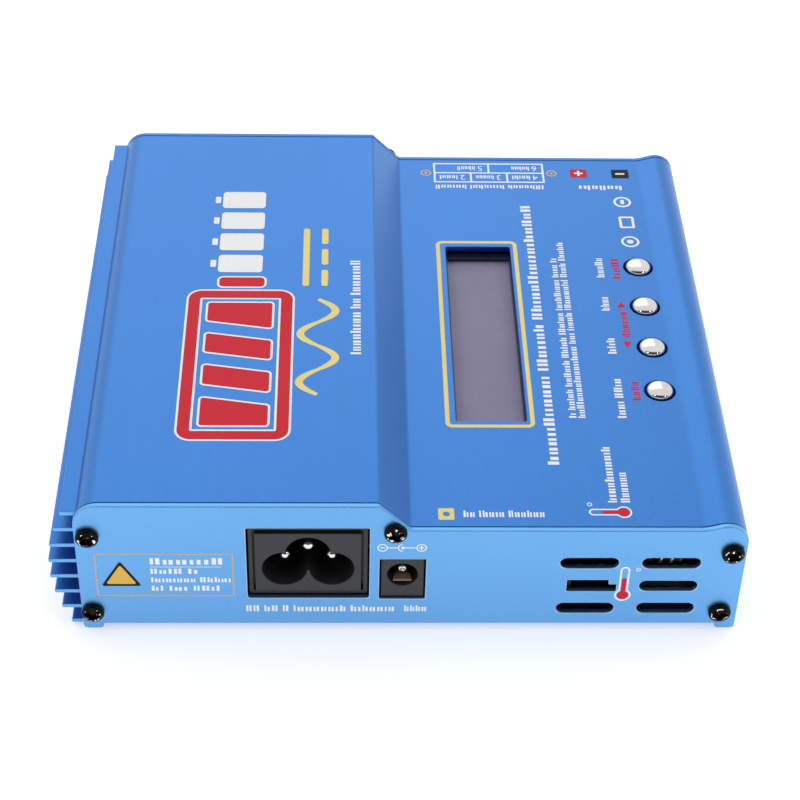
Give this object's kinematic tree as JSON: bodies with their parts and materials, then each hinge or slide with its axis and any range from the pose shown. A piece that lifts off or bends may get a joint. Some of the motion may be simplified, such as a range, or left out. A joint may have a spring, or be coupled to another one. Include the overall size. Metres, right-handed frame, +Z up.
{
  "type": "balance battery charger",
  "caption": "Finned aluminium case with a stepped top, display window, round push keys, mains inlet, low-voltage jack, output sockets and balance headers.",
  "frame": {"origin": "bottom centre of the whole object's box, on the surface that the rubber feet stand on", "axes": "+X from the finned side to the side with the keys, +Y from the front end plate with the mains inlet to the rear end plate with the outputs, +Z up"},
  "size_m": [0.144, 0.138, 0.036],
  "materials": {
    "blue_cover": "satin blue anodising",
    "blue_plate": "satin blue anodising, lighter",
    "black_steel": "black oxide",
    "black_plastic": "moulded",
    "white_nylon": "moulded",
    "red_plastic": "moulded",
    "rubber": "matt",
    "nickel_plate": "bright nickel plate",
    "chromed_cap": "polished",
    "zinc_steel": "plated",
    "raw_aluminium": "as extruded",
    "circuit_board": "green solder mask",
    "display_glass": "grey display under clear glass",
    "copper_wire": "enamelled copper",
    "ferrite": "sintered, matt"
  },
  "bodies": {
    "case": {"upper_shell": "blue_cover", "base_plate": "blue_cover", "front_plate": "blue_plate", "rear_plate": "blue_plate", "mains_inlet": "black_plastic", "low_voltage_jack": "black_plastic", "low_voltage_jack_pin": "nickel_plate", "display_frame": "black_steel", "display_glass": "display_glass", "display_board": "circuit_board", "key_board": "circuit_board", "power_board": "circuit_board", "main_board": "circuit_board", "balance_board": "circuit_board", "transformer": "ferrite", "smoothing_capacitor": "black_plastic", "choke_winding": "copper_wire", "choke_core": "ferrite", "heat_spreader": "raw_aluminium", "power_transistor_1": "zinc_steel", "power_transistor_2": "zinc_steel", "sensor_header": "white_nylon", "output_socket_negative": "black_plastic", "output_socket_positive": "red_plastic", "output_sleeve_negative": "nickel_plate", "output_sleeve_positive": "nickel_plate", "inlet_pin_line": "nickel_plate", "inlet_pin_neutral": "nickel_plate", "inlet_pin_earth": "nickel_plate", "front_screw_1": "black_steel", "front_screw_2": "black_steel", "front_screw_3": "black_steel", "front_screw_4": "black_steel", "front_screw_5": "black_steel", "rubber_foot_front_left": "rubber", "rubber_foot_front_right": "rubber", "rear_screw_1": "black_steel", "rear_screw_2": "black_steel", "rear_screw_3": "black_steel", "rear_screw_4": "black_steel", "rear_screw_5": "black_steel", "rubber_foot_rear_left": "rubber", "rubber_foot_rear_right": "rubber", "balance_header_2_cell": "white_nylon", "balance_header_3_cell": "white_nylon", "balance_header_4_cell": "white_nylon", "balance_header_5_cell": "white_nylon", "balance_header_6_cell": "white_nylon", "start_key_switch": "black_plastic", "increase_key_switch": "black_plastic", "decrease_key_switch": "black_plastic", "stop_key_switch": "black_plastic"},
    "start_key": {"start_key_cap": "chromed_cap", "start_key_plunger": "black_plastic"},
    "increase_key": {"increase_key_cap": "chromed_cap", "increase_key_plunger": "black_plastic"},
    "decrease_key": {"decrease_key_cap": "chromed_cap", "decrease_key_plunger": "black_plastic"},
    "stop_key": {"stop_key_cap": "chromed_cap", "stop_key_plunger": "black_plastic"}
  },
  "joints": [
    {"name": "start_key_press", "type": "slide", "parent": "case", "child": "start_key", "axis": [0, 0, -1], "range_m": [0, 0.0004], "stiffness_N_per_m": 2000, "springref_m": -0.0004},
    {"name": "increase_key_press", "type": "slide", "parent": "case", "child": "increase_key", "axis": [0, 0, -1], "range_m": [0, 0.0004], "stiffness_N_per_m": 2000, "springref_m": -0.0004},
    {"name": "decrease_key_press", "type": "slide", "parent": "case", "child": "decrease_key", "axis": [0, 0, -1], "range_m": [0, 0.0004], "stiffness_N_per_m": 2000, "springref_m": -0.0004},
    {"name": "stop_key_press", "type": "slide", "parent": "case", "child": "stop_key", "axis": [0, 0, -1], "range_m": [0, 0.0004], "stiffness_N_per_m": 2000, "springref_m": -0.0004}
  ]
}
